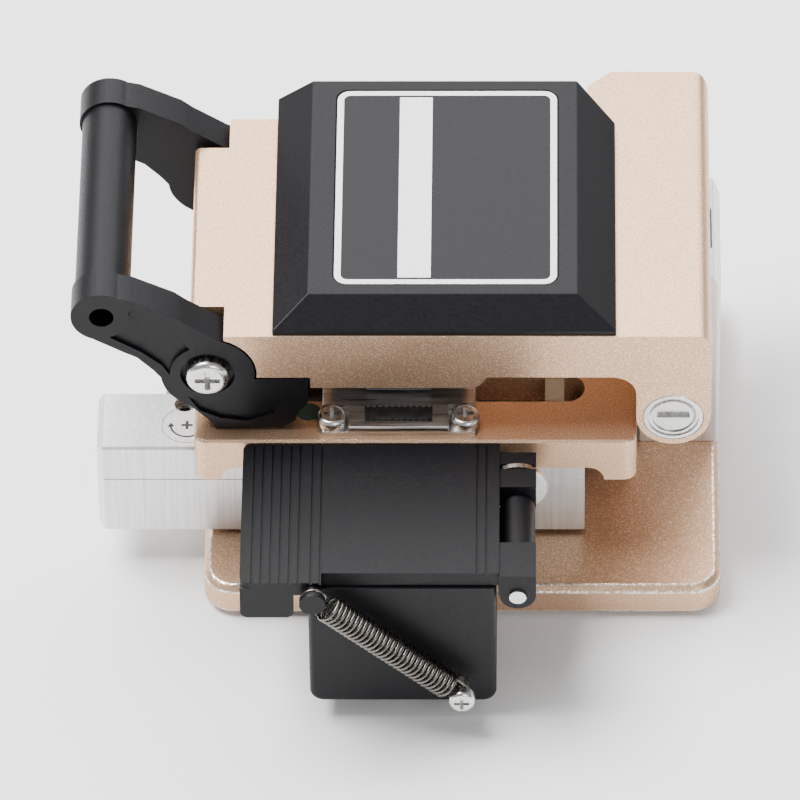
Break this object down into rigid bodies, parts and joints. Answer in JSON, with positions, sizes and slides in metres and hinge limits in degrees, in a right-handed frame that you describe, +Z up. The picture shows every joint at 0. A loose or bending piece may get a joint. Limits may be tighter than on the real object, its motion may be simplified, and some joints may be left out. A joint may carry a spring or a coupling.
{
  "type": "optical fibre cleaver",
  "caption": "Compact bench cleaver for optical fibre: sliding blade, sprung clamps under a hinged lid with a lever handle, and a scrap bin.",
  "frame": {"origin": "centre of the underside of the rubber base pad, where the tool rests", "axes": "+X right along the blade slide towards the lid hinge, +Y away from the scrap bin along the fibre, +Z up"},
  "size_m": [0.0844, 0.0826, 0.0506],
  "materials": {
    "anodised": "bead-blasted champagne anodised aluminium",
    "satin_aluminium": "fine-milled satin aluminium",
    "black_moulding": "matt black moulded plastic",
    "label": "printed plate with a white border and stripe, no text",
    "bright_steel": "bright nickel-plated steel",
    "dark_steel": "oiled spring steel and black-oxide screws",
    "brushed_plate": "brushed stainless steel",
    "blade_carbide": "ground tungsten carbide",
    "brass": "turned brass",
    "black_rubber": "black rubber",
    "grey_rubber": "grey rubber",
    "white_nylon": "white nylon",
    "clear_nylon": "natural nylon",
    "magnet_nickel": "nickel-plated magnet",
    "green_sticker": "green film sticker, no text"
  },
  "bodies": {
    "base": {"base_plate": "anodised", "base_pad": "black_rubber", "deck_column": "anodised", "column_screws": "bright_steel", "deck": "anodised", "deck_screws": "dark_steel", "linear_rail": "brushed_plate", "rail_screws": "dark_steel", "front_lower_clamp": "brushed_plate", "front_clamp_rubber": "black_rubber", "rear_lower_clamp": "brushed_plate", "rear_clamp_rubber": "black_rubber", "clamp_screws": "bright_steel", "slot_stop": "white_nylon", "lid_magnet": "magnet_nickel", "inspection_sticker": "green_sticker", "hinge_block": "satin_aluminium", "hinge_block_screws": "bright_steel", "hinge_pin": "bright_steel", "lid_stop_pad": "grey_rubber", "bin_body": "black_moulding", "bin_mount_screws": "bright_steel", "bin_hinge_pin": "bright_steel", "bin_hinge_washer": "clear_nylon", "bin_spring_screw": "bright_steel"},
    "lid": {"lid_arm": "anodised", "hinge_bearings": "brushed_plate", "label_cover": "black_moulding", "label_plate": "label", "cover_screws": "bright_steel", "magnet_keeper": "bright_steel", "lever_screws": "bright_steel", "upper_clamp_springs": "dark_steel", "anvil_spring": "dark_steel"},
    "lever": {"lever_handle": "black_moulding", "lever_bushes": "brass"},
    "upper_clamps": {"upper_clamp_block": "brushed_plate", "upper_clamp_pads": "black_rubber", "clamp_guide_pins": "bright_steel", "clamp_guide_clips": "dark_steel"},
    "anvil": {"breaking_anvil": "brushed_plate", "anvil_clip": "dark_steel"},
    "blade_slide": {"slider_block": "satin_aluminium", "rail_carriage": "brushed_plate", "carriage_bracket": "satin_aluminium", "bracket_screws": "bright_steel", "blade_axle": "bright_steel"},
    "height_adjuster": {"height_screw": "dark_steel"},
    "blade": {"blade_wheel": "blade_carbide", "blade_hub": "brass"},
    "bin_cover": {"bin_lid": "black_moulding", "bin_spring": "dark_steel"}
  },
  "joints": [
    {"name": "lid_hinge", "type": "hinge", "parent": "base", "child": "lid", "pos_m": [0.0276, 0, 0.0285], "axis": [0, 1, 0], "range_deg": [0, 75]},
    {"name": "lever_pivot", "type": "hinge", "parent": "lid", "child": "lever", "pos_m": [-0.0329, 0, 0.0364], "axis": [0, 1, 0], "range_deg": [0, 9]},
    {"name": "upper_clamp_lift", "type": "slide", "parent": "lid", "child": "upper_clamps", "axis": [0, 0, 1], "range_m": [0, 0.001], "stiffness_N_per_m": 500, "springref_m": -0.002, "deforming": ["upper_clamp_springs"]},
    {"name": "anvil_lift", "type": "slide", "parent": "lid", "child": "anvil", "axis": [0, 0, 1], "range_m": [0, 0.001], "stiffness_N_per_m": 300, "springref_m": -0.002, "deforming": ["anvil_spring"]},
    {"name": "blade_travel", "type": "slide", "parent": "base", "child": "blade_slide", "axis": [1, 0, 0], "range_m": [0, 0.02]},
    {"name": "blade_turn", "type": "hinge", "parent": "blade_slide", "child": "blade", "pos_m": [-0.0182, -0.0129, 0.0188], "axis": [0, 1, 0], "continuous": true},
    {"name": "blade_height_turn", "type": "hinge", "parent": "blade_slide", "child": "height_adjuster", "pos_m": [-0.0365, -0.0115, 0.0171], "axis": [0, 0, 1], "continuous": true},
    {"name": "bin_lid_hinge", "type": "hinge", "parent": "base", "child": "bin_cover", "pos_m": [0.0074, 0, 0.0225], "axis": [0, 1, 0], "range_deg": [0, 60], "stiffness_Nm_per_rad": 0.01, "springref_deg": -34.38, "deforming": ["bin_spring"]}
  ],
  "couplings": [
    {"joint": "lever_pivot", "follows": "lid_hinge", "ratio": 0.12}
  ]
}
